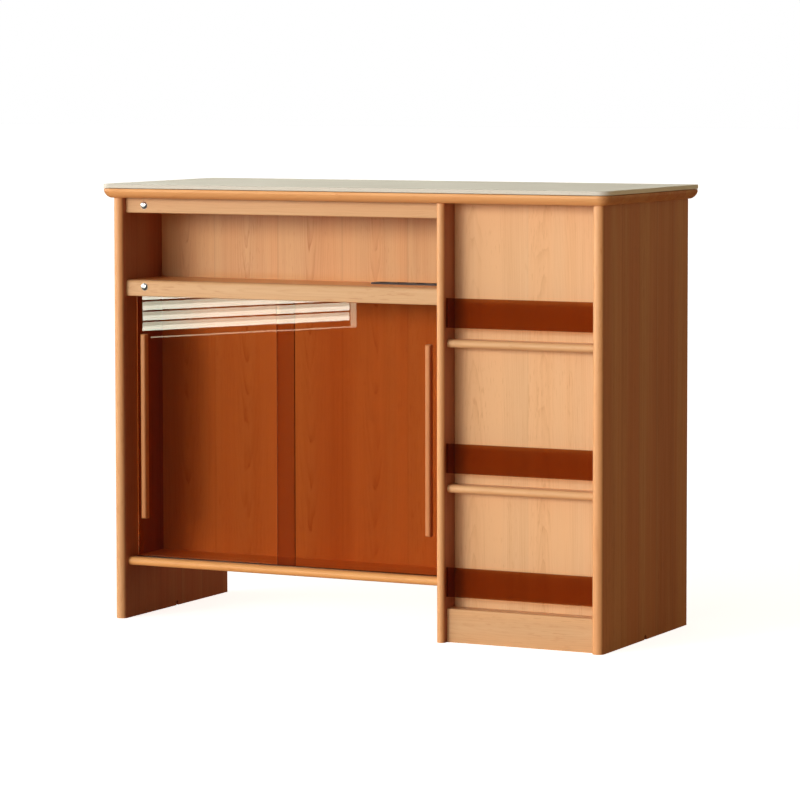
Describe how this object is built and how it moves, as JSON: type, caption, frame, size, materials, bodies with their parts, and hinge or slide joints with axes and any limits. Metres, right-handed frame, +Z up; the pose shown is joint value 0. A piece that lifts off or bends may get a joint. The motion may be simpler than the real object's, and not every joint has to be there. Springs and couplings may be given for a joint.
{
  "type": "display cabinet",
  "caption": "Counter-height cherry cabinet with a stone top, an open niche, sliding amber glass doors and a narrow magazine column with glass guards.",
  "frame": {"origin": "on the floor, under the centre of the top's outline", "axes": "+X towards the magazine column (the right side seen from the front), +Y from the doors towards the open rear, +Z up"},
  "size_m": [1.2, 0.5, 0.95],
  "materials": {
    "stone": "matt sintered stone, warm off-white",
    "silicone": "matt",
    "cherry": "oiled cherry, edge-glued staves",
    "cherry_light": "oiled cherry, paler boards",
    "handle_wood": "oiled cherry",
    "dowel_wood": "raw",
    "amber_glass": "polished amber tinted glass",
    "track_plastic": "dark brown extrusion",
    "stop_rubber": "matt",
    "strip_plastic": "dark grey, fine texture",
    "zinc": "bright zinc plated"
  },
  "bodies": {
    "carcass": {"stone_top": "stone", "silicone_beads": "silicone", "wood_top": "cherry_light", "left_side_panel": "cherry", "right_side_panel": "cherry", "divider_panel": "cherry", "upper_rail": "cherry_light", "niche_rail": "cherry_light", "niche_shelf": "cherry", "bottom_shelf": "cherry", "cabinet_back_panel": "cherry_light", "column_back_panel": "cherry_light", "upper_column_shelf": "cherry_light", "lower_column_shelf": "cherry_light", "base_shelf": "cherry", "plinth_board": "cherry_light", "upper_guard_glass": "amber_glass", "middle_guard_glass": "amber_glass", "lower_guard_glass": "amber_glass", "rear_rail_left": "cherry", "rear_rail_right": "cherry", "upper_track": "track_plastic", "lower_track": "track_plastic", "door_stops": "stop_rubber", "power_strip_body": "strip_plastic", "power_strip_cover": "strip_plastic", "cam_locks": "zinc", "cam_bolts": "zinc", "wood_dowels": "dowel_wood", "top_screws": "zinc"},
    "left_door": {"left_door_glass": "amber_glass", "left_door_handle": "handle_wood"},
    "right_door": {"right_door_glass": "amber_glass", "right_door_handle": "handle_wood"}
  },
  "joints": [
    {"name": "left_door_slide", "type": "slide", "parent": "carcass", "child": "left_door", "axis": [1, 0, 0], "range_m": [0, 0.16]},
    {"name": "right_door_slide", "type": "slide", "parent": "carcass", "child": "right_door", "axis": [1, 0, 0], "range_m": [-0.16, 0]}
  ]
}
